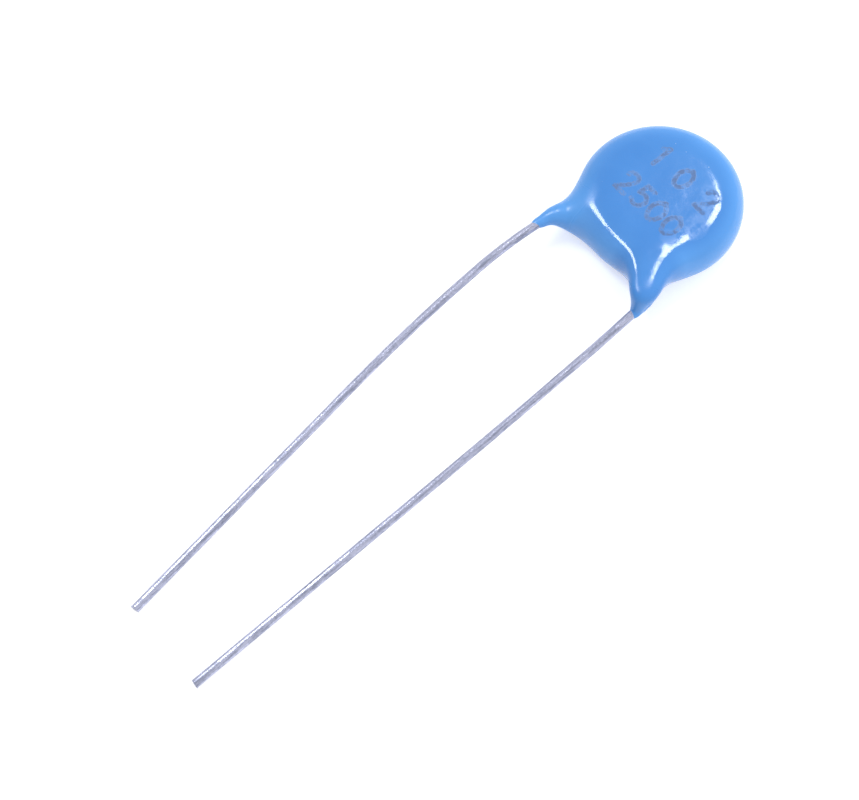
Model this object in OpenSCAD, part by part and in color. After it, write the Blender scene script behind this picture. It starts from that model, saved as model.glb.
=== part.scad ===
// Radial leaded ceramic disc capacitor, dipped in epoxy.
// It lies on its back face: X runs across the leads, the leads run towards -Y,
// and Z is the normal of the printed front face. The origin is the centre of the
// flat of the back face, below the axis of the ceramic disc.

/* [Ceramic disc] */
// Diameter of the ceramic disc
disc_d = 7.8; // [7.2:0.1:8.2]
// Thickness of the ceramic disc
disc_t = 1.3; // [1.0:0.1:1.8]
// Bare ring of ceramic left around each electrode
electrode_margin = 0.35; // [0.2:0.05:0.6]
// Thickness of the fired silver electrodes
electrode_t = 0.03; // [0.02:0.01:0.05]

/* [Leads] */
// Diameter of the tinned wire
lead_d = 0.5; // [0.4:0.05:0.6]
// Distance between the two leads where they leave the coating
lead_pitch = 7.5; // [6.9:0.1:8.0]
// Length of wire that lies on each electrode
seat_run = 3.2; // [2.4:0.1:3.6]
// Angle from the lead's direction to the wire's run across the disc
entry_angle = 36; // [32:1:40]
// Slope of the crank that steps the wire down to the middle of the disc's edge
crank_angle = 35; // [28:1:45]
// Radius of the two bends of the crank, on the wire's centre line
crank_r = 0.6; // [0.5:0.05:0.8]
// Radius of the bend in the neck, on the wire's centre line
neck_bend_r = 1.3; // [1.0:0.1:1.6]
// Gap between the disc's edge and the start of the crank
landing_margin = 0.1; // [0.05:0.05:0.3]

/* [Front lead] */
// Length of the front lead from its first bend to its cut end
front_lead_length = 31; // [20:0.5:40]
// Straight wire in the neck of the front lead
front_neck_run = 0.5; // [0.3:0.05:0.8]
// Outward heading of the front lead where it leaves the coating
front_exit_angle = 0; // [0:0.1:12]
// Angle of the first bend of the front lead, inwards
front_first_bend = 1.4; // [0.5:0.1:12]
// Angle of the long sweep of the front lead, inwards
front_sweep = 1.0; // [0.5:0.1:8]

/* [Back lead] */
// Length of the back lead from its first bend to its cut end
back_lead_length = 30.5; // [20:0.5:40]
// Straight wire in the neck of the back lead
back_neck_run = 0.65; // [0.3:0.05:0.8]
// Outward heading of the back lead where it leaves the coating
back_exit_angle = 8.3; // [0:0.1:12]
// Angle of the first bend of the back lead, inwards
back_first_bend = 7.6; // [0.5:0.1:12]
// Angle of the long sweep of the back lead, inwards
back_sweep = 4.8; // [0.5:0.1:8]

/* [Lead bends] */
// Length of wire in the first bend below the coating
first_bend_run = 3.8; // [2:0.1:6]
// Length of wire in the long sweep after it
sweep_run = 10; // [5:0.5:12]
// Radius of the bend that turns each lead down towards the surface
dip_r = 8; // [4:0.5:12]
// Depth of the pinched bevel that the cutter leaves at each end
cut_bevel = 0.12; // [0.05:0.01:0.2]

/* [Solder] */
// Solder between the wire and the electrode
solder_film = 0.04; // [0.03:0.01:0.08]
// Solder around the wire
solder_wrap = 0.16; // [0.1:0.02:0.2]
// Radius of the pool of solder on the electrode
pool_r = 1.25; // [1.0:0.05:1.6]
// Height of the pool of solder
pool_h = 0.42; // [0.3:0.02:0.5]

/* [Coating] */
// Epoxy over the edge of the ceramic disc
rim_cover = 0.75; // [0.45:0.05:0.9]
// Epoxy over the wire at each face
face_cover = 0.33; // [0.25:0.01:0.5]
// Width of the rounded shoulder between the rim and each flat face
shoulder_w = 1.75; // [1.3:0.05:1.8]
// Fullness of the shoulder: 2 is an ellipse, more is squarer
shoulder_power = 2.2; // [2:0.1:2.8]
// Radius of the ridge where the wire comes off the disc
ridge_r = 0.36; // [0.34:0.01:0.6]
// Radius of the epoxy round the wire in the neck
neck_r = 0.4; // [0.36:0.01:0.5]
// Thickness of the epoxy where it ends on the wire
collar_t = 0.08; // [0.06:0.01:0.15]
// Radius of the swell of epoxy over the front lead's crank
front_swell_r = 0.7; // [0.4:0.02:0.8]
// Height of that swell above the wire
front_swell_rise = 0.85; // [0:0.05:0.9]
// Radius of the swell of epoxy over the back lead's crank
back_swell_r = 0.42; // [0.4:0.02:0.8]
// Height of that swell above the wire
back_swell_rise = 0; // [0:0.05:0.9]
// How far the epoxy in the front lead's neck sags to the inside of its bend
front_sag = 0.12; // [-0.1:0.01:0.14]
// How far the epoxy in the back lead's neck sags to the inside of its bend
back_sag = 0; // [-0.1:0.01:0.14]
// Width of the meniscus that blends the front lead's neck into the disc
front_meniscus = 2.45; // [0.7:0.05:2.8]
// Width of the meniscus that blends the back lead's neck into the disc
back_meniscus = 2.25; // [0.7:0.05:2.8]

/* [Hidden] */
$fn = 32;

coating_colour = [0.33, 0.58, 0.90];
tin_colour = [0.72, 0.72, 0.80];
ceramic_colour = [0.80, 0.72, 0.62];
silver_colour = [0.86, 0.86, 0.84];
solder_colour = [0.66, 0.67, 0.70];

// ---- Heights, from the middle of the stack outwards ----
disc_r = disc_d / 2;
lead_r = lead_d / 2;
electrode_r = disc_r - electrode_margin;
electrode_top = disc_t / 2 + electrode_t;
seat_axis = electrode_top + solder_film + lead_r;   // wire's centre line above the middle
half_t = seat_axis + lead_r + face_cover;           // half the thickness of the coating
coat_r = disc_r + rim_cover;
flat_r = coat_r - shoulder_w;
middle = [0, 0, half_t];                            // centre of the ceramic disc

// ---- Route of a lead, seen from the front with the lead on the right ----
// The back lead is the same route turned half a turn about the Y axis.
crank_ramp = (seat_axis - 2 * crank_r * (1 - cos(crank_angle))) / sin(crank_angle);
crank_reach = 2 * crank_r * sin(crank_angle) + crank_ramp * cos(crank_angle);
landing_r = disc_r + landing_margin;

// Unit vector in plan for a heading measured from -Y towards +X
function heading(a) = [sin(a), -cos(a), 0];

// Where the wire leaves the coating, and where it lands on the level of its seat
function landing_x(exit_a, run) = lead_pitch / 2 - run * sin(exit_a)
    - neck_bend_r * (cos(exit_a) - cos(entry_angle)) - crank_reach * sin(entry_angle);
function landing(exit_a, run) = let (x = landing_x(exit_a, run))
    [x, -sqrt(landing_r * landing_r - x * x), seat_axis];
function crank_foot(exit_a, run) =
    let (p = landing(exit_a, run) + crank_reach * heading(entry_angle)) [p.x, p.y, 0];
// A point on the bend in the neck, where the heading is a
function on_neck_bend(exit_a, run, a) = crank_foot(exit_a, run)
    + neck_bend_r * [cos(a) - cos(entry_angle), sin(a) - sin(entry_angle), 0];
function exit_point(exit_a, run) = on_neck_bend(exit_a, run, exit_a) + run * heading(exit_a);

// ---- Wire ----
// A place on the wire is [point, across, down, along], with three unit vectors that turn with it.
function seat_end(exit_a, run) =
    [landing(exit_a, run) - seat_run * heading(entry_angle),
     [-cos(entry_angle), -sin(entry_angle), 0], [0, 0, -1], heading(entry_angle)];

function advanced(at, run) = [at[0] + run * at[3], at[1], at[2], at[3]];

// The place after a bend. A direction of 0 bends the wire across, and 90 bends it down.
function bent(at, direction, angle, radius) =
    let (n = cos(direction) * at[1] + sin(direction) * at[2],
         side = cos(direction) * at[2] - sin(direction) * at[1],
         inward = cos(angle) * n - sin(angle) * at[3])
    [at[0] + radius * ((1 - cos(angle)) * n + sin(angle) * at[3]),
     cos(direction) * inward - sin(direction) * side,
     sin(direction) * inward + cos(direction) * side,
     cos(angle) * at[3] + sin(angle) * n];

// A step is [straight run, direction of the bend, angle of the bend, radius of the bend]
degrees_per_ring = 6;
function route(steps, at, i = 0) =
    i == len(steps) ? []
    : let (run = steps[i][0], angle = steps[i][2], corner = advanced(at, run),
           rings = ceil(angle / degrees_per_ring),
           arc = [for (j = [1:rings]) bent(corner, steps[i][1], angle * j / rings, steps[i][3])])
      concat(run > 0 ? [corner] : [], arc, route(steps, arc[rings - 1], i + 1));

function bend_radius(run, angle) = run * 180 / (PI * angle);

// The dip brings the cut end down to the surface. It solves
// dip_r * (1 - cos(dip)) + out * sin(dip) = drop, where out is the run after it.
drop = half_t - lead_r;
function dip(out) = atan(dip_r / out) + asin((drop - dip_r) / norm([dip_r, out]));
function straight_end(length) = length - first_bend_run - sweep_run;
function run_out(length, bend, sweep) =
    bend_radius(first_bend_run, bend) * sin(bend)
    + bend_radius(sweep_run, sweep) * (sin(bend + sweep) - sin(bend))
    + straight_end(length) * cos(bend + sweep);

// Down the crank, through the neck, then the dip, the first bend and the sweep. The surface
// is on the front lead's down side (90) and on the back lead's other side (270).
function lead_steps(exit_a, run, length, bend, sweep, surface) = [
    [seat_run, 90, crank_angle, crank_r],
    [crank_ramp, 270, crank_angle, crank_r],
    [0, 0, entry_angle - exit_a, neck_bend_r],
    [run, surface, dip(run_out(length, bend, sweep)), dip_r],
    [0, 0, bend, bend_radius(first_bend_run, bend)],
    [0, 0, sweep, bend_radius(sweep_run, sweep)]];

wire_sides = 20;
tuck = 0.4;         // how far the bent wire runs on inside the straight end
tuck_taper = 0.9;
seam_inset = 0.002; // keeps the bent wire's corners inside the straight end's wall
function ring(at, r) = [for (k = [0:wire_sides - 1])
    at[0] + r * (cos(360 * k / wire_sides) * at[1] + sin(360 * k / wire_sides) * at[2])];

module bent_wire(places) {
    last = len(places) - 1;
    rings = concat([for (at = places) ring(at, lead_r - seam_inset)],
                   [ring(advanced(places[last], tuck), tuck_taper * lead_r)]);
    rows = [for (i = [0:last + 1]) [for (k = [0:wire_sides - 1]) i * wire_sides + k]];
    polyhedron(points = [for (r = rings) each r],
               faces = concat([for (i = [0:last]) each strip(rows[i + 1], rows[i], true)],
                              [rows[0], reversed(rows[last + 1])]));
}

module at_place(at)
    multmatrix([for (i = [0:2]) [at[1][i], at[2][i], at[3][i], at[0][i]]]) children();

// What the cutter's two jaws take off the end of the wire
module cutter() {
    for (side = [0, 1]) mirror([side, 0, 0])
        rotate([0, atan(cut_bevel / lead_r), 0])
            translate([0, -lead_d, 0]) cube([lead_d, 2 * lead_d, lead_d]);
}

module lead(exit_a, run, length, bend, sweep, surface) {
    start = seat_end(exit_a, run);
    places = concat([start],
                    route(lead_steps(exit_a, run, length, bend, sweep, surface), start));
    bent_wire(places);
    at_place(places[len(places) - 1]) difference() {
        cylinder(r = lead_r, h = straight_end(length));
        translate([0, 0, straight_end(length)]) cutter();
    }
}

// Puts a shape drawn for the front, about the middle of the disc, at the front or the back
module front_side() translate(middle) children();
module back_side() translate(middle) rotate([0, 180, 0]) children();

module front_lead() color(tin_colour) front_side()
    lead(front_exit_angle, front_neck_run, front_lead_length, front_first_bend, front_sweep, 90);
module back_lead() color(tin_colour) back_side()
    lead(back_exit_angle, back_neck_run, back_lead_length, back_first_bend, back_sweep, 270);

// ---- Disc, electrodes and solder ----
module ceramic_disc() color(ceramic_colour) translate(middle)
    cylinder(r = disc_r, h = disc_t, center = true);

module electrode() translate([0, 0, disc_t / 2]) cylinder(r = electrode_r, h = electrode_t);
module front_electrode() color(silver_colour) front_side() electrode();
module back_electrode() color(silver_colour) back_side() electrode();

// A bead round the wire and a low pool under its end, both cut flat at the electrode
module solder_mass(exit_a, run) {
    seat = landing(exit_a, run);
    bead_r = lead_r + solder_wrap;
    bead_start = landing_r - electrode_r + bead_r;
    bead_run = seat_run - bead_start;
    pool_sphere_r = (pool_r * pool_r + pool_h * pool_h) / (2 * pool_h);
    difference() {
        union() {
            translate(seat - bead_start * heading(entry_angle)) rotate([90, 0, 180 + entry_angle]) {
                sphere(r = bead_r);
                cylinder(r = bead_r, h = bead_run);
                translate([0, 0, bead_run]) sphere(r = bead_r);
            }
            translate(seat - (seat_run - pool_r / 2) * heading(entry_angle)
                      - [0, 0, seat_axis - electrode_top + pool_sphere_r - pool_h])
                sphere(r = pool_sphere_r);
        }
        translate([-coat_r, -coat_r, electrode_top - 2 * coat_r]) cube(2 * coat_r);
    }
}

module front_solder_mass() front_side() solder_mass(front_exit_angle, front_neck_run);
module back_solder_mass() back_side() solder_mass(back_exit_angle, back_neck_run);
module front_solder() color(solder_colour) difference() { front_solder_mass(); front_lead(); }
module back_solder() color(solder_colour) difference() { back_solder_mass(); back_lead(); }

// ---- Coating ----
// The skin is the level surface of a smooth blend of two distances: one from a pillow round
// the disc, and one from a ridge that follows the wire off the disc and into the neck.
function pillow(p) =
    let (q = max(norm([p.x, p.y]) - flat_r, 0) / shoulder_w, w = abs(p.z) / half_t)
    (pow(pow(q, shoulder_power) + pow(w, shoulder_power), 1 / shoulder_power) - 1) * shoulder_w;

function capsule(p, a, b) =
    let (ab = b[0] - a[0], t = max(0, min(1, (p - a[0]) * ab / (ab * ab))))
    norm(p - a[0] - t * ab) - (a[1] + t * (b[1] - a[1]));

function ridge(p, path) = min([for (i = [0:len(path) - 2]) capsule(p, path[i], path[i + 1])]);

function blend(a, b, width) = let (h = max(width - abs(a - b), 0)) min(a, b) - h * h / (4 * width);

// A neck is [path of its ridge, width of its meniscus]
function skin(p, neck) = blend(pillow(p), ridge(p, neck[0]), neck[1]);

// Distance from a point inside to the skin, along a direction
reach_limit = 3;
halvings = 15;
function reach(p, d, neck, low = 0, high = reach_limit, n = halvings) =
    let (mid = (low + high) / 2)
    n == 0 ? mid
    : skin(p + mid * d, neck) < 0 ? reach(p, d, neck, mid, high, n - 1)
    : reach(p, d, neck, low, mid, n - 1);

// The faces are flat at the full thickness
flat_snap = 0.002;
function level(p) =
    [p.x, p.y, abs(p.z) > half_t - flat_snap ? sign(p.z) * half_t : p.z];

// The ridge's centre line and radius. It leaves the landing, swells over the crank, slopes
// down to the end of the neck, and then comes back along the wire to cover it.
collar_r = lead_r + collar_t;
middle_rise = 0.75;
elbow_rise = 0.3;
function inside(a) = [-cos(a), -sin(a), 0];
function ridge_path(exit_a, run, sag, swell_r, swell_rise) =
    let (middle_a = (entry_angle + exit_a) / 2,
         foot = crank_foot(exit_a, run) + sag * inside(entry_angle),
         bend = on_neck_bend(exit_a, run, middle_a) + sag * inside(middle_a),
         elbow = on_neck_bend(exit_a, run, exit_a) + sag / 2 * inside(exit_a),
         rise = [0, 0, swell_rise])
    [[landing(exit_a, run) + sag / 2 * inside(entry_angle), ridge_r],
     [foot + rise, swell_r],
     [bend + middle_rise * rise, (2 * swell_r + collar_r) / 3],
     [elbow + elbow_rise * rise, (swell_r + 4 * collar_r) / 5],
     [exit_point(exit_a, run) + run * heading(exit_a), collar_r],
     [elbow, (neck_r + collar_r) / 2],
     [bend, neck_r],
     [foot, neck_r]];

// A section of the skin: points from the back to the front, all in the upright plane that
// starts at p and looks along the plan angle a
section_steps = 18;
function section(p, a, neck) = [for (k = [0:section_steps])
    let (up = 180 * k / section_steps - 90,
         d = k == 0 ? [0, 0, -1] : k == section_steps ? [0, 0, 1]
           : [cos(a) * cos(up), sin(a) * cos(up), sin(up)])
    level(p + reach(p, d, neck) * d)];

// The sections start from a line that runs round the flat face, out along the wire to the
// end of the neck and back. These are its right half's four stretches.
round_steps = 15;
flank_steps = 11;
crank_steps = 7;
bend_steps = 4;
neck_steps = 2;
web_steps = 9;
crank_lift = 0.4;
web_angle = 62;

function flank_point(t, seat) =
    [(1 - t * t) * flat_r + t * t * seat.x, t * seat.y, 0];

function neck_line(exit_a, run) =
    let (seat = landing(exit_a, run), foot = crank_foot(exit_a, run),
         bend = entry_angle - exit_a, elbow = on_neck_bend(exit_a, run, exit_a),
         end = exit_point(exit_a, run))
    concat(
        [for (i = [0:crank_steps]) let (t = i / crank_steps)
            [seat.x + t * (foot.x - seat.x), seat.y + t * (foot.y - seat.y),
             crank_lift * seat_axis * sin(180 * t)]],
        [for (i = [1:bend_steps]) on_neck_bend(exit_a, run, entry_angle - bend * i / bend_steps)],
        [for (i = [1:neck_steps]) elbow + (end - elbow) * i / neck_steps]);

function half_skin(exit_a, run, neck) =
    let (line = neck_line(exit_a, run), last = len(line) - 1, seat = line[0])
    concat(
        [for (i = [0:round_steps]) let (a = 90 - 90 * i / round_steps)
            section([flat_r * cos(a), flat_r * sin(a), 0], a, neck)],
        [for (i = [1:flank_steps]) section(flank_point(i / flank_steps, seat), 0, neck)],
        [for (i = [1:last]) section(line[i], 0, neck)],
        [for (i = [0:last]) section(line[last - i], 180 + web_angle * i / last, neck)],
        [for (i = [1:web_steps]) let (t = i / web_steps)
            section([seat.x * (1 - t), seat.y * (1 - t) - flat_r * t, 0],
                    180 + web_angle + (90 - web_angle) * t, neck)]);

// Half a turn about the Y axis makes the back lead's half from a front one
function turned(p) = [-p.x, p.y, -p.z];
function turned_section(s) = [for (k = [0:section_steps]) turned(s[section_steps - k])];

// Rings inside the start line close the front and the back over the flat
ring_steps = 4;
ring_r = 0.9 * flat_r;
function ring_point(p, j, neck, side) =
    let (r = norm([p.x, p.y]), f = 1 + (min(1, ring_r / r) - 1) * j / ring_steps,
         start = [p.x * f, p.y * f, 0])
    level(start + reach(start, [0, 0, side], neck) * [0, 0, side]);

function reversed(list) = [for (i = [len(list) - 1:-1:0]) list[i]];
function inner_part(list) = [for (i = [1:len(list) - 2]) list[i]];

// Which of a half's sections stand on the edge of the flat faces
function face_sections(half) = let (web_start = len(half) - web_steps)
    concat([for (i = [0:round_steps + flank_steps]) i],
           [for (i = [web_start:len(half) - 1]) i]);

function half_rings(half, neck, side) = [for (j = [1:ring_steps])
    [for (i = face_sections(half)) ring_point(half[i][side > 0 ? section_steps : 0], j, neck, side)]];

// Joins the right half's list with the left half's, which share their two ends
function joined(right, left) = concat(right, inner_part(reversed(left)));
function joined_rings(right, left) = [for (j = [0:ring_steps - 1])
    joined(right[j], [for (p = left[j]) turned(p)])];

// Triangles between two rows of point numbers, and between a row and one point
function strip(a, b, closed) = [for (i = [0:len(a) - (closed ? 1 : 2)])
    let (n = (i + 1) % len(a)) each [[a[i], a[n], b[n]], [a[i], b[n], b[i]]]];
function fan(a, centre) = [for (i = [0:len(a) - 1]) [a[i], a[(i + 1) % len(a)], centre]];
function flipped(faces) = [for (f = faces) [f[0], f[2], f[1]]];
function distinct(f, points) = points[f[0]] != points[f[1]] && points[f[1]] != points[f[2]]
    && points[f[2]] != points[f[0]];

module coating_skin() {
    front_neck = [ridge_path(front_exit_angle, front_neck_run, front_sag,
                             front_swell_r, front_swell_rise), front_meniscus];
    back_neck = [ridge_path(back_exit_angle, back_neck_run, back_sag,
                            back_swell_r, back_swell_rise), back_meniscus];
    right = half_skin(front_exit_angle, front_neck_run, front_neck);
    left = half_skin(back_exit_angle, back_neck_run, back_neck);
    sections = joined(right, [for (s = left) turned_section(s)]);
    front_rings = joined_rings(half_rings(right, front_neck, 1), half_rings(left, back_neck, -1));
    back_rings = joined_rings(half_rings(right, front_neck, -1), half_rings(left, back_neck, 1));

    stride = section_steps + 1;
    ring_size = len(front_rings[0]);
    left_rows = inner_part(reversed(face_sections(left)));
    rim_rows = concat(face_sections(right),
                      [for (i = left_rows) len(right) + len(left) - 2 - i]);
    front_start = len(sections) * stride;
    back_start = front_start + ring_steps * ring_size + 1;

    points = concat([for (s = sections) each s],
                    [for (r = front_rings) each r], [[0, 0, half_t]],
                    [for (r = back_rings) each r], [[0, 0, -half_t]]);
    front_rows = concat([[for (i = rim_rows) i * stride + section_steps]],
        [for (j = [0:ring_steps - 1]) [for (i = [0:ring_size - 1]) front_start + j * ring_size + i]]);
    back_rows = concat([[for (i = rim_rows) i * stride]],
        [for (j = [0:ring_steps - 1]) [for (i = [0:ring_size - 1]) back_start + j * ring_size + i]]);
    sides = [for (k = [0:section_steps - 1]) each strip(
        [for (i = [0:len(sections) - 1]) i * stride + k],
        [for (i = [0:len(sections) - 1]) i * stride + k + 1], true)];
    front = concat([for (j = [0:ring_steps - 1]) each strip(front_rows[j], front_rows[j + 1], true)],
                   fan(front_rows[ring_steps], back_start - 1));
    back = concat([for (j = [0:ring_steps - 1]) each strip(back_rows[j], back_rows[j + 1], true)],
                  fan(back_rows[ring_steps], len(points) - 1));
    polyhedron(points = points,
               faces = [for (f = concat(sides, front, flipped(back))) if (distinct(f, points)) f]);
}

module epoxy_coating() color(coating_colour) difference() {
    translate(middle) coating_skin();
    ceramic_disc();
    front_electrode();
    back_electrode();
    front_solder_mass();
    back_solder_mass();
    front_lead();
    back_lead();
}

ceramic_disc();
front_electrode();
back_electrode();
front_solder();
back_solder();
front_lead();
back_lead();
epoxy_coating();
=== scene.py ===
"""Finish and studio of a dipped ceramic disc capacitor with two long wire leads."""

import math

import bmesh
import bpy
import numpy as np
from bpy.props import FloatProperty, FloatVectorProperty, PointerProperty, StringProperty
from mathutils import Matrix, Vector


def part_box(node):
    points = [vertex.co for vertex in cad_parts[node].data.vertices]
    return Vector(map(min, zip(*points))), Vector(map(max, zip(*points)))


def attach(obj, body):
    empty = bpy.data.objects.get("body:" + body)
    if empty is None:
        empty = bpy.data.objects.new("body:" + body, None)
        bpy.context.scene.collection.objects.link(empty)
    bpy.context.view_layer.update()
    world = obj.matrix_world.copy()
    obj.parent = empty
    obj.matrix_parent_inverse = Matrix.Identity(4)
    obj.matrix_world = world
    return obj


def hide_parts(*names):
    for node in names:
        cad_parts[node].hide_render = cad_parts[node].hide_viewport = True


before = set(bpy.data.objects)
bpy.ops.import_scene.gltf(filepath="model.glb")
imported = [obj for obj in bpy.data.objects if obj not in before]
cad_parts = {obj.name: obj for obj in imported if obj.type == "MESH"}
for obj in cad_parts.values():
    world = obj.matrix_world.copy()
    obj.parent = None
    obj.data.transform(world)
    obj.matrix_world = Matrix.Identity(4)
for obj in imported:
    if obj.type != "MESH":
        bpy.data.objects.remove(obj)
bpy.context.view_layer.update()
DISC_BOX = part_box("ceramic_disc")
COATING_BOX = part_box("epoxy_coating")

bl_info = {
    "name": "Disc capacitor",
    "version": (1, 0, 0),
    "blender": (4, 5, 0),
    "location": "View3D > Sidebar > Capacitor",
    "description": "Dresses and lights a dipped ceramic disc capacitor",
    "category": "Object",
}

MM = 0.001
WIRE_SIDES = 32
# The most that a wire turns between two rings, in its bends and in its long sweeps
BEND_STEP = math.radians(4)
SWEEP_STEP = math.radians(0.5)


def length(name, about, mm):
    return FloatProperty(name=name, description=about, default=mm * MM, min=0.0, precision=5,
                         subtype="DISTANCE", unit="LENGTH")


def shift(name, about, mm):
    return FloatProperty(name=name, description=about, default=mm * MM, precision=5,
                         unit="LENGTH")


def along_ridge(name, about, *mm):
    """A value at the landing, the foot, the bend and the elbow of a neck."""
    return FloatVectorProperty(name=name, description=about, size=4, precision=5,
                               default=[k * MM for k in mm], unit="LENGTH")


def angle(name, about, degrees):
    return FloatProperty(name=name, description=about, default=math.radians(degrees),
                         subtype="ANGLE", unit="ROTATION")


def colour(name, about, rgb):
    return FloatVectorProperty(name=name, description=about, default=rgb, size=3,
                               min=0.0, max=1.0, subtype="COLOR")


# ---- Sizes and colours ----

class LeadSizes(bpy.types.PropertyGroup):
    """One lead, from its seat on the electrode to its cut end."""
    neck_run: length("Neck run", "Straight wire in the neck", 0.5)
    exit_angle: angle("Exit angle", "Outward heading where the wire leaves the coating", 0)
    first_bend: angle("First bend", "Inward bend below the coating", 1.4)
    sweep: angle("Sweep", "Long inward sweep after the first bend", 1.0)
    run: length("Length", "Wire from the first bend to the cut end", 31)
    sag: shift("Sag", "How far the epoxy in the neck sags inwards", 0.1)
    meniscus: length("Meniscus", "Width of the blend between neck and disc", 2.58)
    ridge_start: shift("Ridge start", "How far past the landing the ridge starts", 0.209)
    ridge_r: along_ridge("Ridge radii", "Radius of the swell of epoxy over the crank",
                         0.44, 0.766, 0.704, 0.421)
    ridge_rise: along_ridge("Ridge rises", "Height of the ridge's middle above the wire",
                            0.178, 1.138, 1.1, 0.617)


class CapacitorSizes(bpy.types.PropertyGroup):
    """Sizes that both leads and the coating share."""
    disc: length("Disc", "Diameter of the ceramic disc", (DISC_BOX[1][0] - DISC_BOX[0][0]) / MM)
    thickness: length("Thickness", "Thickness of the coated disc",
                      (COATING_BOX[1][2] - COATING_BOX[0][2]) / MM)
    wire: length("Wire", "Diameter of the tinned wire", 0.5)
    pitch: length("Pitch", "Distance between the leads at the coating", 7.5)
    seat_run: length("Seat", "Wire that lies on each electrode", 3.2)
    seat_height: length("Seat height", "Middle of the disc to the middle of the seated wire", 0.97)
    entry_angle: angle("Entry angle", "From the lead's direction to the wire's run on the disc", 36)
    crank_angle: angle("Crank angle", "Slope of the crank", 35)
    crank_r: length("Crank radius", "Radius of the crank's bends", 0.6)
    neck_bend_r: length("Neck bend radius", "Radius of the bend in the neck", 1.3)
    landing_margin: length("Landing margin", "Disc's edge to the start of the crank", 0.1)
    first_bend_run: length("First bend run", "Wire in the first bend", 3.8)
    sweep_run: length("Sweep run", "Wire in the sweep", 10)
    dip_r: length("Dip radius", "Radius of the bend towards the surface", 8)
    cut_slant: length("Cut slant", "How far the cut end is out of square, over the wire's radius",
                      0.03)
    burr_run: length("Burr", "Wire that the cutter squashed", 0.09)
    burr: FloatProperty(name="Burr width", description="Width of the squashed end over the wire's",
                        default=1.16)
    rim_cover: length("Rim cover", "Epoxy over the disc's edge", 0.75)
    shoulder: length("Shoulder", "Width of the rounded shoulder", 2.1)
    fullness: FloatProperty(name="Fullness", description="2 is an elliptical shoulder",
                            default=2.27)
    face_x: shift("Face across", "How far the front face lies off the middle; the back face "
                  "lies as far the other way", 0.404)
    face_y: shift("Face along", "How far both faces lie off the middle", 0.07)
    face_edge: length("Face edge", "Softness of the edge between the faces and the necks", 0.464)
    neck_r: length("Neck radius", "Radius of the epoxy round the wire in the neck", 0.4)
    collar: length("Collar", "Thickness of the epoxy where it thins out", 0.08)
    front: PointerProperty(type=LeadSizes)
    back: PointerProperty(type=LeadSizes)


class CapacitorColours(bpy.types.PropertyGroup):
    """Colours of the finishes."""
    epoxy: colour("Epoxy", "Blue of the dipped coating", (0.052, 0.272, 0.765))
    # Painted light: this paler blue is painted on the rim and towards +Y, standing in for the glow
    # of the white surroundings at the rim and the brighter light on that side
    epoxy_painted_glow: colour("Thin epoxy", "Coating where it is thin, at the rim", (0.12, 0.42, 0.98))
    tin: colour("Tin", "Bright tin on the wire", (0.50, 0.52, 0.68))
    tin_dark: colour("Worn tin", "Tin in the drawing lines", (0.25, 0.27, 0.37))
    ink: colour("Ink", "Ink of the marking", (0.10, 0.19, 0.42))


class CapacitorMarking(bpy.types.PropertyGroup):
    """Plain digits on the front face."""
    upper: StringProperty(name="Upper row", description="Upper row of digits", default="102")
    lower: StringProperty(name="Lower row", description="Lower row of digits", default="2500")
    height: length("Height", "Height of a digit", 1.35)
    reach: length("Reach", "Distance from the pen's line at which the ink's mask ends", 0.3)
    turn: angle("Turn", "How far the rows lean", -3)


class CapacitorStudio(bpy.types.PropertyGroup):
    """Camera and lamps."""
    azimuth: angle("Azimuth", "Where the camera stands round the capacitor", 46.28)
    elevation: angle("Elevation", "How high the camera stands", 65.98)
    distance: length("Distance", "Camera to its aim", 170)
    aim_x: shift("Aim X", "Camera's aim", -0.18)
    aim_y: shift("Aim Y", "Camera's aim", -17.43)
    view_width: length("View width", "Width that the picture takes in at the aim", 46.15798)
    sky: FloatProperty(name="Sky", description="Brightness overhead", default=0.70, min=0)
    horizon: FloatProperty(name="Horizon", description="Brightness at the horizon",
                           default=0.70, min=0)
    side: FloatProperty(name="Side", description="How much brighter the sky is on its bright side",
                        default=0.62, min=0)
    side_turn: angle("Side turn", "From the X axis to the sky's bright side", 50)


def sizes():
    return bpy.context.scene.capacitor_sizes


def colours():
    return bpy.context.scene.capacitor_colours


# ---- Wire ----

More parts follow.
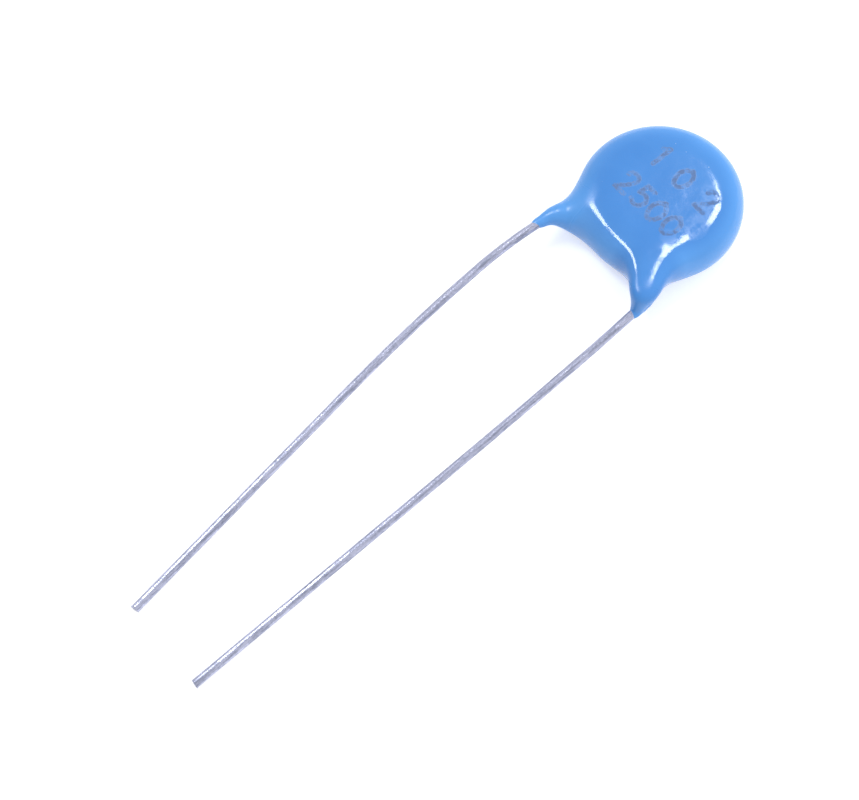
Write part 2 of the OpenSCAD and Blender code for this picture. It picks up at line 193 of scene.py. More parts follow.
class Wire:
    """A round wire, drawn out of a ring of edges one straight or one bend at a time.
    It works in millimetres, about the middle of the ceramic disc, with the front lead's
    heading. across, down and along turn with the wire."""

    def __init__(self, at, across, down, radius, sides):
        self.bm = bmesh.new()
        self.at, self.across, self.down = Vector(at), Vector(across), Vector(down)
        self.along = self.across.cross(self.down)
        bmesh.ops.create_circle(self.bm, cap_ends=False, radius=radius, segments=sides,
                                matrix=self.turned())
        self.ring = list(self.bm.edges)

    def turned(self):
        """Takes the ring's own frame to the wire's."""
        axes = Matrix((self.across, self.down, self.along)).transposed().to_4x4()
        return Matrix.Translation(self.at) @ axes

    def straight(self, run, widen=1.0):
        """Above 1, widen squashes the ring that it ends in."""
        out = bmesh.ops.extrude_edge_only(self.bm, edges=self.ring)["geom"]
        self.ring = [e for e in out if isinstance(e, bmesh.types.BMEdge)
                     and len(e.link_faces) == 1]
        verts = [v for v in out if isinstance(v, bmesh.types.BMVert)]
        self.at = self.at + run * self.along
        bmesh.ops.translate(self.bm, verts=verts, vec=run * self.along)
        bmesh.ops.scale(self.bm, verts=verts, vec=(widen, 1 / widen, 1),
                        space=self.turned().inverted())

    def bend(self, direction, sweep, radius, step=BEND_STEP):
        """A direction of 0 bends the wire across, and of 90 degrees down."""
        side = math.cos(direction) * self.across + math.sin(direction) * self.down
        axis = self.along.cross(side).normalized()
        centre = self.at + radius * side
        out = bmesh.ops.spin(self.bm, geom=self.ring, cent=centre, axis=axis, angle=sweep,
                             steps=max(3, math.ceil(sweep / step)), use_duplicate=False)
        self.ring = [e for e in out["geom_last"] if isinstance(e, bmesh.types.BMEdge)]
        turn = Matrix.Rotation(sweep, 3, axis)
        self.at = centre + turn @ (self.at - centre)
        self.across, self.down, self.along = (turn @ self.across, turn @ self.down,
                                              turn @ self.along)


def heading(a):
    """Along a lead that heads outwards by an angle."""
    return Vector((math.sin(a), -math.cos(a), 0))


def inside(a):
    """Square to that, towards the inside of the lead's bends."""
    return Vector((-math.cos(a), -math.sin(a), 0))


class Route:
    """Where one lead's wire goes, in millimetres, about the middle of the ceramic disc."""

    def __init__(self, shared, lead, surface):
        s, self.lead = shared, lead
        self.entry, self.exit = s.entry_angle, lead.exit_angle
        self.seat, self.lead_r = s.seat_height / MM, s.wire / MM / 2
        self.half_t = s.thickness / MM / 2
        self.crank, self.crank_r = s.crank_angle, s.crank_r / MM
        self.bend_r, self.dip_r = s.neck_bend_r / MM, s.dip_r / MM
        self.seat_run, self.neck_run = s.seat_run / MM, lead.neck_run / MM
        bends = 2 * self.crank_r * (1 - math.cos(self.crank))
        self.ramp = (self.seat - bends) / math.sin(self.crank)
        reach = 2 * self.crank_r * math.sin(self.crank) + self.ramp * math.cos(self.crank)
        landing_r = s.disc / MM / 2 + s.landing_margin / MM
        x = (s.pitch / MM / 2 - self.neck_run * math.sin(self.exit)
             - self.bend_r * (math.cos(self.exit) - math.cos(self.entry))
             - reach * math.sin(self.entry))
        self.landing = Vector((x, -math.sqrt(landing_r ** 2 - x * x), self.seat))
        foot = self.landing + reach * heading(self.entry)
        self.foot = Vector((foot.x, foot.y, 0))
        self.end = self.on_bend(self.exit) + self.neck_run * heading(self.exit)
        self.surface = surface
        self.first_run, self.sweep_run = s.first_bend_run / MM, s.sweep_run / MM
        self.straight_end = lead.run / MM - self.first_run - self.sweep_run

    def on_bend(self, a):
        """The place on the neck's bend where the wire heads outwards by an angle."""
        return self.foot + self.bend_r * Vector((math.cos(a) - math.cos(self.entry),
                                                 math.sin(a) - math.sin(self.entry), 0))

    def dip(self):
        """The angle of the bend that brings the cut end down to the surface."""
        first, sweep = self.lead.first_bend, self.lead.sweep
        out = (self.first_run / first * math.sin(first)
               + self.sweep_run / sweep * (math.sin(first + sweep) - math.sin(first))
               + self.straight_end * math.cos(first + sweep))
        drop = self.half_t - self.lead_r
        return (math.atan(self.dip_r / out)
                + math.asin((drop - self.dip_r) / math.hypot(self.dip_r, out)))

    def wire(self, radius, sides):
        """The wire from its seat to the straight end."""
        wire = Wire(self.landing - self.seat_run * heading(self.entry), inside(self.entry),
                    (0, 0, -1), radius, sides)
        first, sweep = self.lead.first_bend, self.lead.sweep
        wire.straight(self.seat_run)
        wire.bend(math.pi / 2, self.crank, self.crank_r)
        wire.straight(self.ramp)
        wire.bend(-math.pi / 2, self.crank, self.crank_r)
        wire.bend(0, self.entry - self.exit, self.bend_r)
        wire.straight(self.neck_run)
        wire.bend(self.surface, self.dip(), self.dip_r)
        wire.bend(0, first, self.first_run / first, step=SWEEP_STEP)
        wire.bend(0, sweep, self.sweep_run / sweep, step=SWEEP_STEP)
        return wire


def routes():
    s = sizes()
    front = Route(s, s.front, math.pi / 2)
    back = Route(s, s.back, -math.pi / 2)
    middle = Matrix.Translation((0, 0, s.thickness / MM / 2))
    return ((front, middle), (back, middle @ Matrix.Rotation(math.pi, 4, "Y")))


# ---- Skin of the coating, in millimetres about the middle of the ceramic disc ----

# The narrowest shoulder, and the radius inside which the faces' shift fades to none
LEAST_SHOULDER = 0.4
CENTRED_R = 2
# The last two knots of a ridge, where it dives into the wire. The first lies DIVE_START
# outwards of the neck's end and the second DIVE_END past it along the wire, and each _R is
# added to the wire's radius.
DIVE_START, DIVE_END = 0.06, 0.25
DIVE_START_R, DIVE_END_R = 0.03, -0.07
# Stands in for the distance to a neck on the other side of the disc
FAR = 9.0
# A neck is looked for on its own side of the disc, and this far past the middle
SIDE_MARGIN = 0.5


def pillow(p, s):
    """Distance from points to the pillow round the disc. The epoxy ran a little while it
    was wet, so the flat faces lie off the middle."""
    coat_r, half_t = (s.disc / 2 + s.rim_cover) / MM, s.thickness / MM / 2
    out = np.hypot(p[:, 0], p[:, 1])
    off = ((s.face_x * p[:, 0] * np.clip(p[:, 2] / half_t, -1, 1) + s.face_y * p[:, 1]) / MM
           / np.maximum(out, CENTRED_R))
    flat = coat_r - s.shoulder / MM + off
    width = np.maximum(coat_r - flat, LEAST_SHOULDER)
    q = np.maximum(out - flat, 0) / width
    w = np.abs(p[:, 2]) / half_t
    return ((q ** s.fullness + w ** s.fullness) ** (1 / s.fullness) - 1) * width


def capsule(p, a, b):
    """Distance from points to a tapered capsule. An end is (x, y, z, radius)."""
    ab = b[:3] - a[:3]
    t = np.clip((p - a[:3]) @ ab / (ab @ ab), 0, 1)
    return np.linalg.norm(p - a[:3] - t[:, None] * ab, axis=1) - a[3] - t * (b[3] - a[3])


def drawn_through(knots, u):
    """Smooth curve (a uniform cubic B-spline) at steps u along its knots."""
    i = np.minimum(u.astype(int), len(knots) - 4)
    w = u - i
    weights = ((1 - w) ** 3, 3 * w ** 3 - 6 * w ** 2 + 4,
               -3 * w ** 3 + 3 * w ** 2 + 3 * w + 1, w ** 3)
    return sum(k[..., None] * knots[i + j] for j, k in enumerate(weights)) / 6


def swept(p, knots, steps=44):
    """Distance from points to a ball that is swept along a smooth curve."""
    last = len(knots) - 3 - 1e-9
    u = np.linspace(0, last, steps)
    ball = drawn_through(knots, u)
    far = np.sqrt(((p[:, None] - ball[None, :, :3]) ** 2).sum(axis=2)) - ball[:, 3]
    i, row = np.clip(far.argmin(axis=1), 1, steps - 2), np.arange(len(p))
    a, b, c = far[row, i - 1], far[row, i], far[row, i + 1]
    nearer = np.clip((a - c) / (2 * np.maximum(a - 2 * b + c, 1e-6)), -1, 1)
    ball = drawn_through(knots, np.clip(u[i] + nearer * u[1], 0, last))
    return np.linalg.norm(p - ball[:, :3], axis=1) - ball[:, 3]


def ridge_knots(route, s):
    """The neck's upper ridge and the cover over its wire, as rows of (x, y, z, radius).
    The ridge swells over the crank, slopes down to the end of the neck and dives into the
    wire there."""
    lead, middle = route.lead, (route.entry + route.exit) / 2
    collar_r = route.lead_r + s.collar / MM
    sag = lead.sag / MM
    foot = route.foot + sag * inside(route.entry)
    bend = route.on_bend(middle) + sag * inside(middle)
    elbow = route.on_bend(route.exit) + sag / 2 * inside(route.exit)
    collar = route.on_bend(route.exit) + 0.5 * route.neck_run * heading(route.exit)
    start = (route.landing + sag / 2 * inside(route.entry)
             + lead.ridge_start / MM * heading(route.entry))
    top = [(*(at + Vector((0, 0, rise / MM))), r / MM)
           for at, r, rise in zip((start, foot, bend, elbow), lead.ridge_r, lead.ridge_rise)]
    top += [(*collar, collar_r),
            (*(route.end - DIVE_START * inside(route.exit)), route.lead_r + DIVE_START_R),
            (*(route.end + DIVE_END * heading(route.exit)), route.lead_r + DIVE_END_R)]
    neck_r = s.neck_r / MM
    cover = [(*collar, collar_r), (*elbow, (neck_r + collar_r) / 2), (*bend, neck_r),
             (*foot, neck_r)]
    return np.array([top[0]] * 2 + top + [top[-1]] * 2), np.array(cover)


def skin(p, s, necks):
    """Distance from points about the middle of the disc to the coating's skin."""
    body = pillow(p, s)
    half = []
    for (top, cover), width, side in necks:
        local = p * np.array((side, 1, side))
        near = (local[:, 1] < 0) & (local[:, 0] > -SIDE_MARGIN)
        ridge = np.full(len(p), FAR)
        ridge[near] = np.min([swept(local[near], top)]
                             + [capsule(local[near], a, b) for a, b in zip(cover, cover[1:])],
                             axis=0)
        h = np.maximum(width - np.abs(body - ridge), 0)
        half.append(np.minimum(body, ridge) - h * h / (4 * width))
    coat, slab = np.minimum(*half), np.abs(p[:, 2]) - s.thickness / MM / 2
    edge = s.face_edge / MM
    h = np.maximum(edge - np.abs(coat - slab), 0)
    return np.maximum(coat, slab) + h * h / (4 * edge)


def settle(p, distance, rounds=5, most=0.15, reach=0.002, least_slope=0.05):
    """Moves points onto the surface where distance is 0, by up to most in each round."""
    for _ in range(rounds):
        slope = np.stack([(distance(p + e) - distance(p - e)) / (2 * reach)
                          for e in reach * np.eye(3)], axis=1)
        steep = np.maximum((slope ** 2).sum(axis=1), least_slope)
        move = -distance(p)[:, None] * slope / steep[:, None]
        far = np.linalg.norm(move, axis=1, keepdims=True)
        p = p + move * np.minimum(1, most / np.maximum(far, 1e-9))
    return p


# ---- Shaders ----

class Value:
    """A number that a shader works out. Sums on it add the nodes they need."""

    def __init__(self, finish, socket):
        self.finish, self.socket = finish, socket

    def math(self, operation, *others):
        return self.finish.node("ShaderNodeMath", {"operation": operation},
                                dict(enumerate((self, *others))))

    def __add__(self, other):
        return self.math("ADD", other)

    def __mul__(self, other):
        return self.math("MULTIPLY", other)

    def __sub__(self, other):
        return self.math("SUBTRACT", other)

    def __rsub__(self, other):
        return self * -1 + other

    def __truediv__(self, other):
        return self.math("DIVIDE", other)

    def __pow__(self, other):
        return self.math("POWER", other)

    __radd__ = __add__
    __rmul__ = __mul__

    def step(self, low, high):
        """0 below low and 1 above high, with a soft change between."""
        return self.finish.node("ShaderNodeMapRange", {"interpolation_type": "SMOOTHSTEP"},
                                {"Value": self, "From Min": low, "From Max": high})


# The Mix node's sockets for colours, by number, as its sockets for numbers have the same names
MIX_FACTOR, MIX_A, MIX_B, MIX_RESULT = 0, 6, 7, 2


class Nodes:
    """The nodes of a material or of the world."""

    def __init__(self, owner):
        owner.use_nodes = True
        self.tree = owner.node_tree

    def node(self, kind, settings=None, inputs=None, output=0):
        node = self.tree.nodes.new(kind)
        for name, value in (settings or {}).items():
            setattr(node, name, value)
        for name, value in (inputs or {}).items():
            self.put(node.inputs[name], value)
        return Value(self, node.outputs[output])

    def put(self, socket, value):
        if isinstance(value, Value):
            self.tree.links.new(value.socket, socket)
        else:
            socket.default_value = value

    def where(self, scale=(1, 1, 1)):
        """Object coordinates in millimetres, stretched by scale."""
        at = self.node("ShaderNodeTexCoord", output="Object")
        return self.node("ShaderNodeMapping", {"vector_type": "POINT"},
                         {"Vector": at, "Scale": tuple(k / MM for k in scale)})

    def noise(self, at, scale, detail, roughness=0.5, distortion=0.0):
        return self.node("ShaderNodeTexNoise", {"noise_dimensions": "3D"},
                         {"Vector": at, "Scale": scale, "Detail": detail,
                          "Roughness": roughness, "Distortion": distortion})

    def specks(self, at, scale, size):
        """1 inside small scattered dots, 0 outside."""
        near = self.node("ShaderNodeTexVoronoi", {"feature": "F1"},
                         {"Vector": at, "Scale": scale})
        return 1 - near.step(size * 0.6, size)

    def mix(self, amount, a, b):
        """From colour a at 0 to colour b at 1. A colour is RGB, or what a shader works out."""
        a, b = (k if isinstance(k, Value) else (*k, 1) for k in (a, b))
        return self.node("ShaderNodeMix", {"data_type": "RGBA"},
                         {MIX_FACTOR: amount, MIX_A: a, MIX_B: b}, output=MIX_RESULT)

    def behind(self):
        """1 where the camera, or a mirror or glass, sees this directly, 0 elsewhere."""
        rays = [self.node("ShaderNodeLightPath", output=f"Is {ray} Ray")
                for ray in ("Camera", "Glossy", "Transmission")]
        return (rays[0] + rays[1] + rays[2]).math("MINIMUM", 1)


class Finish(Nodes):
    """A material round one Principled shader."""

    def __init__(self, name, **constants):
        self.material = bpy.data.materials.new(name)
        super().__init__(self.material)
        self.shader = self.tree.nodes["Principled BSDF"]
        self.set(**constants)

    def bump(self, height, depth):
        """Dents the surface by height times depth, in millimetres."""
        self.set(Normal=self.node("ShaderNodeBump", None,
                                  {"Height": height, "Distance": depth * MM, "Strength": 1.0}))

    def set(self, **links):
        for socket, value in links.items():
            self.put(self.shader.inputs[socket.replace("_", " ")], value)


def patch(x, y, centre, narrow, edge):
    """1 in an elliptical patch round its centre, 0 outside, with a soft edge."""
    across, along = (x - centre[0]) * narrow[0], (y - centre[1]) * narrow[1]
    return 1 - (across ** 2 + along ** 2).step(*edge)


def epoxy_finish():
    c = colours()
    f = Finish("dipped_epoxy", IOR=1.53)
    at = f.where()
    x, y = (f.node("ShaderNodeSeparateXYZ", None, {"Vector": at}, output=k) for k in "XY")
    radius = (x * x + y * y) ** 0.5
    # painted light: the coating is painted paler towards the rim and towards +Y, standing in for
    # the pale glow of the white surroundings at the rim and the brighter light on that side; beside
    # the front neck most of the rim's paler paint is held back
    less_glow_painted = patch(x, y, (2.9, -4.2), (0.5, 0.5), (0.5, 1.5))
    painted_glow = radius.step(3.2, 4.8) * (1 - 0.85 * less_glow_painted) + y.step(0.5, 4.5) * 0.3
    clouds = f.noise(at, 0.5, 3).step(0.3, 0.7)
    tone = f.mix(painted_glow.math("MINIMUM", 1) * 0.75 + clouds * 0.12, c.epoxy, c.epoxy_painted_glow)
    dust = f.specks(at, 0.9, 0.045)
    tone = f.mix(dust * 0.5, tone, (0.45, 0.66, 0.95))
    # the mask is 1 on the pen's line and falls to 0 at its reach
    mask = f.node("ShaderNodeAttribute", {"attribute_name": "ink"}, output="Fac")
    worn = f.noise(at, 2.6, 4, 0.6) * 0.7 + f.noise(at, 9.0, 2) * 0.3
    frayed = (mask + (f.noise(at, 7, 2) - 0.5) * 0.25).step(0.38, 0.72)
    ink = frayed * (1 - worn.step(0.41, 0.62) * 0.85)
    # the epoxy is duller on the necks and beside the back one (dull), in one spot above the
    # front lead's ridge (foot), and in a speckled arc and a speckled patch at the faces' right
    # edge (edge and spot)
    beside = (1 - x.step(-2.5, -1.9)) * (1 - y.step(-2.9, -1.5))
    dull = (radius.step(5.0, 6.2) + beside).math("MINIMUM", 1)
    edge = (radius.step(2.0, 2.7) * (1 - radius.step(2.9, 3.1))
            * ((x * 0.94 + y * 0.34) / radius).step(0.75, 0.95))
    spot = patch(x, y, (3.15, -0.3), (1.8, 1.3), (0.3, 1.0))
    foot = patch(x, y, (2.2, -1.75), (2, 2), (0.4, 1.2))
    speckle = f.noise(at, 6, 3, 0.6).step(0.42, 0.58)
    f.set(Base_Color=f.mix(ink, tone, c.ink),
          Roughness=(0.07 + 0.05 * f.noise(at, 2.2, 3) + 0.25 * dust + 0.45 * ink
                     + 0.19 * dull + 0.17 * foot
                     + 0.10 * edge * (0.4 + speckle) + 0.28 * spot * (0.6 + 0.5 * speckle)))
    peel = f.noise(at, 1.1, 2, 0.45)
    f.bump(peel * 0.8 + f.noise(at, 5, 2) * 0.06 + dust * 0.4, 0.01)
    return f.material


def tin_finish():
    c = colours()
    f = Finish("tinned_wire", Metallic=1.0)
    lines = f.noise(f.where((9, 0.25, 9)), 1.0, 4, 0.6)
    flakes = f.noise(f.where((4, 1.6, 4)), 1.2, 4, 0.65, 0.6)
    grain = f.noise(f.where((9, 6, 9)), 1.0, 3, 0.65)
    worn = (lines * 0.55 + grain * 0.3 + flakes * 0.3).step(0.46, 0.70)
    f.set(Base_Color=f.mix(worn, c.tin, c.tin_dark),
          Roughness=0.16 + 0.16 * flakes + 0.12 * worn)
    f.bump(grain + lines * 0.4 + flakes * 0.3, 0.016)
    return f.material


def ceramic_finish():
    f = Finish("fired_ceramic", IOR=1.6)
    at = f.where()
    grain = f.noise(at, 6, 4, 0.6)
    f.set(Base_Color=f.mix(grain.step(0.35, 0.7), (0.64, 0.52, 0.38), (0.50, 0.40, 0.29)),
          Roughness=0.55 + 0.2 * grain)
    f.bump(grain, 0.01)
    return f.material


def silver_finish():
    f = Finish("fired_silver", Metallic=1.0)
    at = f.where()
    grain = f.noise(at, 9, 3, 0.6)
    f.set(Base_Color=f.mix(grain.step(0.3, 0.7), (0.82, 0.81, 0.78), (0.66, 0.65, 0.62)),
          Roughness=0.42 + 0.2 * grain)
    f.bump(grain, 0.006)
    return f.material


def solder_finish():
    f = Finish("solder", Metallic=1.0)
    at = f.where()
    ripple = f.noise(at, 2.4, 3, 0.5, 0.8)
    f.set(Base_Color=f.mix(ripple.step(0.3, 0.7), (0.62, 0.63, 0.65), (0.45, 0.46, 0.49)),
          Roughness=0.2 + 0.25 * ripple)
    f.bump(ripple, 0.03)
    return f.material


# ---- Pieces ----

def piece(name, mesh, material, slot, *nodes):
    """A finished piece in the row frame, from a mesh in metres."""
    o = bpy.data.objects.new(name, mesh)
    bpy.context.scene.collection.objects.link(o)
    mesh.materials.clear()
    mesh.materials.append(material)
    mesh.polygons.foreach_set("use_smooth", [True] * len(mesh.polygons))
    if nodes:
        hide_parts(*nodes)
    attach(o, "root")


def mesh_of(bm, name, place=Matrix.Identity(4)):
    """Takes a bmesh in millimetres to a mesh in metres."""
    bmesh.ops.recalc_face_normals(bm, faces=bm.faces)
    bm.transform(Matrix.Scale(MM, 4) @ place)
    mesh = bpy.data.meshes.new(name)
    bm.to_mesh(mesh)
    bm.free()
    return mesh


def move_to(mesh, distance):
    """Moves a mesh's vertices onto the surface where distance is 0."""
    at = np.empty(len(mesh.vertices) * 3)
    mesh.vertices.foreach_get("co", at)
    mesh.vertices.foreach_set("co", settle(at.reshape(-1, 3), distance).ravel())


def smooth(mesh, rounds=3):
    bm = bmesh.new()
    bm.from_mesh(mesh)
    for _ in range(rounds):
        bmesh.ops.smooth_vert(bm, verts=bm.verts, factor=0.5, use_axis_x=True, use_axis_y=True,
                              use_axis_z=True)
    bm.to_mesh(mesh)
    bm.free()


def cut(bm, place, facing):
    """Takes off what lies past a plane, and closes every open ring with a face."""
    bmesh.ops.bisect_plane(bm, geom=bm.verts[:] + bm.edges[:] + bm.faces[:], dist=1e-6,
                           plane_co=place, plane_no=facing, clear_outer=True)
    bmesh.ops.holes_fill(bm, edges=[e for e in bm.edges if len(e.link_faces) == 1], sides=0)


def remeshed(mesh, voxel):
    """The mesh's outer skin as even quads."""
    o = bpy.data.objects.new("remesh", mesh)
    bpy.context.scene.collection.objects.link(o)
    even = o.modifiers.new("even", "REMESH")
    even.mode, even.voxel_size = "VOXEL", voxel
    out = bpy.data.meshes.new_from_object(
        o.evaluated_get(bpy.context.evaluated_depsgraph_get()))
    bpy.data.objects.remove(o)
    return out


# Size of the coating's quads and the wire that stays past the necks, in millimetres
SKIN_VOXEL = 0.075
WIRE_PAST_NECK = 0.2


class CAPACITOR_OT_coating(bpy.types.Operator):
    """Makes the dipped epoxy coating"""
    bl_idname = "capacitor.coating"
    bl_label = "Epoxy coating"

    def execute(self, context):
        s = sizes()
        # the remesh keeps only the outer skin of these solids, so the inside comes out filled;
        # the wires are first cut off just past the necks
        bm = bmesh.new()
        for node in ("epoxy_coating", "front_lead", "back_lead"):
            bm.from_mesh(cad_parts[node].data)
        bm.transform(Matrix.Translation((0, 0, -s.thickness / MM / 2)) @ Matrix.Scale(1 / MM, 4))
        bmesh.ops.remove_doubles(bm, verts=bm.verts, dist=1e-5)
        ends = min(route.end.y for route, _ in routes())
        cut(bm, (0, ends - WIRE_PAST_NECK, 0), (0, -1, 0))
        rough = bpy.data.meshes.new("rough")
        bm.to_mesh(rough)
        bm.free()
        mesh = remeshed(rough, SKIN_VOXEL)
        necks = [(ridge_knots(route, s), route.lead.meniscus / MM, side)
                 for (route, _), side in zip(routes(), (1, -1))]
        for _ in range(2):
            move_to(mesh, lambda p: skin(p, s, necks))
            smooth(mesh)
        move_to(mesh, lambda p: skin(p, s, necks))
        mesh.transform(Matrix.Scale(MM, 4) @ Matrix.Translation((0, 0, s.thickness / MM / 2)))
        piece("dipped_coating", mesh, epoxy_finish(), "epoxy", "epoxy_coating")
        return {"FINISHED"}


class CAPACITOR_OT_leads(bpy.types.Operator):
    """Draws the two tinned wires to their cut ends"""
    bl_idname = "capacitor.leads"
    bl_label = "Wire leads"

    def execute(self, context):
        s = sizes()
        tin = tin_finish()
        for (route, place), name in zip(routes(), ("front", "back")):
            wire = route.wire(route.lead_r, WIRE_SIDES)
            wire.straight(route.straight_end - s.burr_run / MM)
            wire.straight(s.burr_run / MM, s.burr)
            slant = s.cut_slant / MM / route.lead_r
            cut(wire.bm, wire.at - s.cut_slant / MM * wire.along,
                wire.along + slant * wire.across)
            mesh = mesh_of(wire.bm, name, place)
            piece(f"{name}_wire", mesh, tin, "tinned_wire", f"{name}_lead")
        return {"FINISHED"}


class CAPACITOR_OT_inside(bpy.types.Operator):
    """Finishes the ceramic disc, its silver electrodes and the solder"""
    bl_idname = "capacitor.inside"
    bl_label = "Inside parts"

    def execute(self, context):
        solder, silver = solder_finish(), silver_finish()
        finishes = {"ceramic_disc": ceramic_finish(), "front_electrode": silver,
                    "back_electrode": silver, "front_solder": solder, "back_solder": solder}
        for node, material in finishes.items():
            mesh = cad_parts[node].data
            mesh.materials.clear()
            mesh.materials.append(material)
        return {"FINISHED"}


# Each digit is drawn with pen strokes in a box 0.6 wide and 1 high
STROKES = {
    "0": [[(0.3, 1), (0.05, 0.75), (0.05, 0.25), (0.3, 0), (0.55, 0.25), (0.55, 0.75), (0.3, 1)]],
    "1": [[(0.12, 0.78), (0.34, 1.0)], [(0.34, 1.0), (0.34, 0.0)]],
    "2": [[(0.05, 0.78), (0.12, 0.95), (0.32, 1.0), (0.52, 0.88), (0.5, 0.62), (0.05, 0.0)],
          [(0.05, 0.0), (0.57, 0.0)]],
    "3": [[(0.06, 0.9), (0.3, 1.0), (0.52, 0.85), (0.46, 0.6), (0.25, 0.53)],
          [(0.25, 0.53), (0.5, 0.45), (0.56, 0.2), (0.3, 0.0), (0.05, 0.12)]],
    "4": [[(0.44, 1.0), (0.02, 0.32)], [(0.02, 0.32), (0.6, 0.32)], [(0.44, 1.0), (0.44, 0.0)]],
    "5": [[(0.52, 1.0), (0.12, 1.0)], [(0.12, 1.0), (0.07, 0.55)],
          [(0.07, 0.55), (0.3, 0.63), (0.54, 0.5), (0.55, 0.2), (0.32, 0.0), (0.04, 0.12)]],
    "6": [[(0.48, 1.0), (0.15, 0.7), (0.05, 0.3), (0.3, 0.0), (0.55, 0.28), (0.35, 0.55),
           (0.1, 0.42)]],
    "7": [[(0.04, 1.0), (0.56, 1.0)], [(0.56, 1.0), (0.22, 0.0)]],
    "8": [[(0.3, 0.55), (0.08, 0.75), (0.3, 1.0), (0.52, 0.75), (0.3, 0.55), (0.04, 0.26),
           (0.3, 0.0), (0.56, 0.26), (0.3, 0.55)]],
    "9": [[(0.5, 0.6), (0.25, 0.45), (0.05, 0.72), (0.3, 1.0), (0.55, 0.7), (0.45, 0.3),
           (0.12, 0.0)]],
}


def pen_lines(rows, height):
    """Pen strokes of rows of digits, as a mesh of edges. A row is (text, left, base, pitch)."""
    data = bpy.data.curves.new("pen", "CURVE")
    data.dimensions, data.resolution_u = "3D", 8
    for text, left, base, pitch in rows:
        for k, digit in enumerate(text):
            for stroke in STROKES.get(digit, []):
                line = data.splines.new("BEZIER")
                line.bezier_points.add(len(stroke) - 1)
                for point, (x, y) in zip(line.bezier_points, stroke):
                    point.co = (left + k * pitch + x * height, base + y * height, 0)
                    point.handle_left_type = point.handle_right_type = "AUTO"
    o = bpy.data.objects.new("pen", data)
    bpy.context.scene.collection.objects.link(o)
    mesh = bpy.data.meshes.new_from_object(
        o.evaluated_get(bpy.context.evaluated_depsgraph_get()))
    bpy.data.objects.remove(o)
    return mesh


# Each row's left end, its base line and the pitch of its digits, in millimetres
UPPER_ROW = (-2.01, 0.79, 1.86)
LOWER_ROW = (-2.0, -1.70, 1.18)
# Ink only goes on what is above this share of the thickness and within this radius
FACE_FROM = 0.8
FACE_R = 4


class CAPACITOR_OT_marking(bpy.types.Operator):
    """Prints two rows of plain digits on the front face of the coating"""
    bl_idname = "capacitor.marking"
    bl_label = "Marking"

    def execute(self, context):
        m = context.scene.capacitor_marking
        pen = pen_lines(((m.upper, *UPPER_ROW), (m.lower, *LOWER_ROW)), m.height / MM)
        pen.transform(Matrix.Rotation(m.turn, 4, "Z"))
        mesh = bpy.data.objects["dipped_coating"].data
        at = np.empty(len(mesh.vertices) * 3)
        mesh.vertices.foreach_get("co", at)
        at = at.reshape(-1, 3) / MM
        face = ((at[:, 2] > FACE_FROM * sizes().thickness / MM)
                & (np.hypot(at[:, 0], at[:, 1]) < FACE_R))
        flat = at[face] * np.array((1, 1, 0))
        lines = [[np.array((*pen.vertices[v].co, 0)) for v in edge.vertices] for edge in pen.edges]
        ink = np.zeros(len(at))
        ink[face] = np.clip(1 - np.min([capsule(flat, a, b) for a, b in lines], axis=0)
                            * MM / m.reach, 0, 1)
        mesh.attributes.new("ink", "FLOAT", "POINT").data.foreach_set("value", ink)
        return {"FINISHED"}


# ---- Studio ----

# Each lamp's direction from the capacitor, its width, height and turn in degrees, and its radiance
LAMPS = {
    "lamp_far": ((-0.169, 0.428, 0.889), 8.3, 5.7, -6, 20),
    "lamp_near": ((-0.537, -0.157, 0.829), 9, 20, -43, 15),
}
# From the capacitor to each lamp, in metres, and the floor's radius, in millimetres
LAMPS_APART = 0.4
FLOOR_R = 600


def lamp(name, aim, apart, toward, wide, tall, turn, radiance):
    """A soft rectangular lamp in a direction from its aim, with sizes in degrees."""
    away = Vector(toward).normalized()
    data = bpy.data.lights.new(name, "AREA")
    data.shape = "RECTANGLE"
    data.size = 2 * apart * math.tan(math.radians(wide) / 2)
    data.size_y = 2 * apart * math.tan(math.radians(tall) / 2)
    data.energy = radiance * math.pi * data.size * data.size_y
    o = bpy.data.objects.new(name, data)
    bpy.context.scene.collection.objects.link(o)
    o.matrix_world = (Matrix.Translation(Vector(aim) + apart * away)
                      @ away.to_track_quat("Z", "Y").to_matrix().to_4x4()
                      @ Matrix.Rotation(math.radians(turn), 4, "Z"))


def floor_material():
    """Pale and matt. Straight to the camera it adds a little white, and keeps the shadow."""
    f = Finish("studio_floor", Base_Color=(0.86, 0.86, 0.87, 1), Roughness=0.9,
               Specular_IOR_Level=0.0, Emission_Color=(1, 1, 1, 1))
    f.set(Emission_Strength=f.behind() * 0.55)
    return f.material


def world_light(studio):
    world = bpy.data.worlds.new("studio")
    bpy.context.scene.world = world
    f = Nodes(world)
    background = f.tree.nodes["Background"]
    up = f.node("ShaderNodeTexCoord", output="Generated")
    x, y, z = (f.node("ShaderNodeSeparateXYZ", None, {"Vector": up}, output=k) for k in "XYZ")
    plain = (studio.horizon + z.step(0.0, 0.9) * (studio.sky - studio.horizon)
             + studio.side * (x * math.cos(studio.side_turn) + y * math.sin(studio.side_turn)))
    white = f.behind()
    f.put(background.inputs["Strength"], white + (1 - white) * plain)
    background.inputs["Color"].default_value = (1, 1, 1, 1)


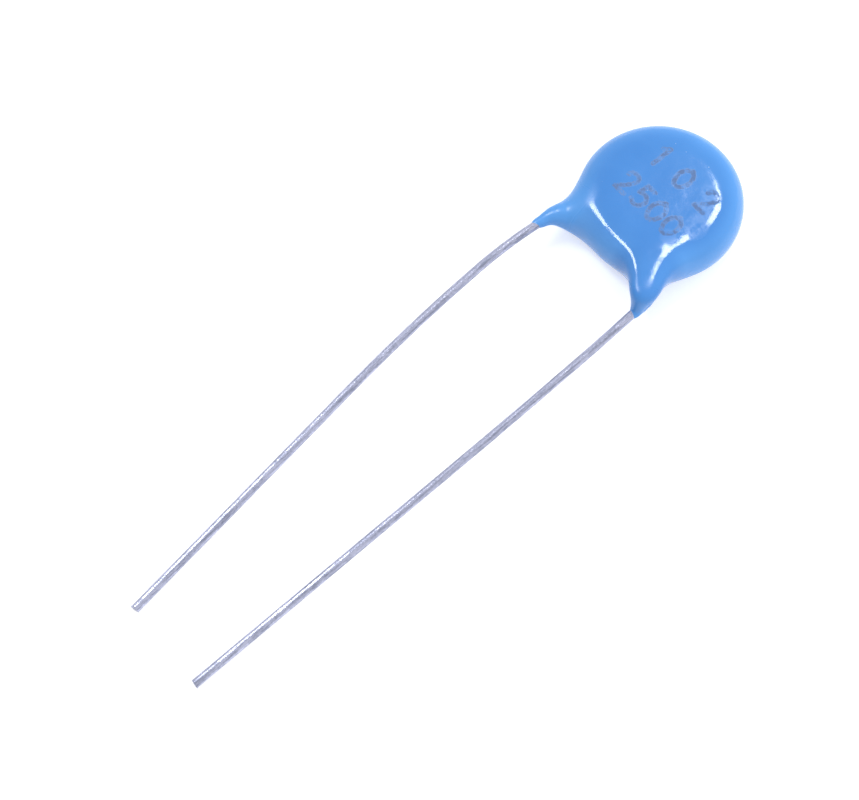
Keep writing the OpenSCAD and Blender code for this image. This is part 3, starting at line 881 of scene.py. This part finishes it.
class CAPACITOR_OT_studio(bpy.types.Operator):
    """Sets up the floor, the lamps and the camera"""
    bl_idname = "capacitor.studio"
    bl_label = "Studio"

    def execute(self, context):
        studio = context.scene.capacitor_studio
        bm = bmesh.new()
        bmesh.ops.create_circle(bm, cap_ends=True, radius=FLOOR_R, segments=96)
        floor = bpy.data.objects.new("studio_floor", mesh_of(bm, "studio_floor"))
        context.scene.collection.objects.link(floor)
        floor.data.materials.append(floor_material())
        world_light(studio)

        for name, settings in LAMPS.items():
            lamp(name, (0, 0, sizes().thickness), LAMPS_APART, *settings)

        az, el = studio.azimuth, studio.elevation
        back = Vector((math.sin(az) * math.cos(el), -math.cos(az) * math.cos(el), math.sin(el)))
        right = Vector((math.cos(az), math.sin(az), 0))
        up = back.cross(right)
        aim = Vector((studio.aim_x, studio.aim_y, sizes().thickness / 2))
        data = bpy.data.cameras.new("camera")
        data.sensor_fit = "HORIZONTAL"
        data.lens = data.sensor_width * studio.distance / studio.view_width
        data.clip_start, data.clip_end = 0.01, 10
        camera = bpy.data.objects.new("camera", data)
        context.scene.collection.objects.link(camera)
        camera.matrix_world = (Matrix.Translation(aim + studio.distance * back)
                               @ Matrix((right, up, back)).transposed().to_4x4())
        context.scene.camera = camera
        context.scene.view_settings.view_transform = "Standard"
        return {"FINISHED"}


class CAPACITOR_PT_panel(bpy.types.Panel):
    """Steps that dress the capacitor"""
    bl_idname = "CAPACITOR_PT_panel"
    bl_label = "Disc capacitor"
    bl_space_type = "VIEW_3D"
    bl_region_type = "UI"
    bl_category = "Capacitor"

    def draw(self, context):
        for operator in OPERATORS:
            self.layout.operator(operator.bl_idname)


OPERATORS = (CAPACITOR_OT_coating, CAPACITOR_OT_leads, CAPACITOR_OT_inside,
             CAPACITOR_OT_marking, CAPACITOR_OT_studio)
CLASSES = (LeadSizes, CapacitorSizes, CapacitorColours, CapacitorMarking, CapacitorStudio,
           *OPERATORS, CAPACITOR_PT_panel)


def register():
    for c in CLASSES:
        bpy.utils.register_class(c)
    scene = bpy.types.Scene
    scene.capacitor_sizes = PointerProperty(type=CapacitorSizes)
    scene.capacitor_colours = PointerProperty(type=CapacitorColours)
    scene.capacitor_marking = PointerProperty(type=CapacitorMarking)
    scene.capacitor_studio = PointerProperty(type=CapacitorStudio)


def unregister():
    for name in ("sizes", "colours", "marking", "studio"):
        delattr(bpy.types.Scene, f"capacitor_{name}")
    for c in reversed(CLASSES):
        bpy.utils.unregister_class(c)


# What the back lead has for itself, in millimetres and degrees. The front one keeps the defaults.
BACK_LENGTHS = {"neck_run": 0.65, "run": 30.5, "sag": 0, "meniscus": 2.25, "ridge_start": 0}
BACK_ANGLES = {"exit_angle": 8.3, "first_bend": 7.6, "sweep": 4.8}
BACK_RIDGE = {"ridge_r": (0.36, 0.44, 0.41, 0.36), "ridge_rise": (0, 0, 0, 0)}


def main():
    register()
    back = sizes().back
    for name, mm in BACK_LENGTHS.items():
        setattr(back, name, mm * MM)
    for name, degrees in BACK_ANGLES.items():
        setattr(back, name, math.radians(degrees))
    for name, row in BACK_RIDGE.items():
        setattr(back, name, [mm * MM for mm in row])
    bpy.ops.capacitor.coating()
    bpy.ops.capacitor.leads()
    bpy.ops.capacitor.inside()
    bpy.ops.capacitor.marking()
    bpy.ops.capacitor.studio()


if __name__ == "__main__":
    main()
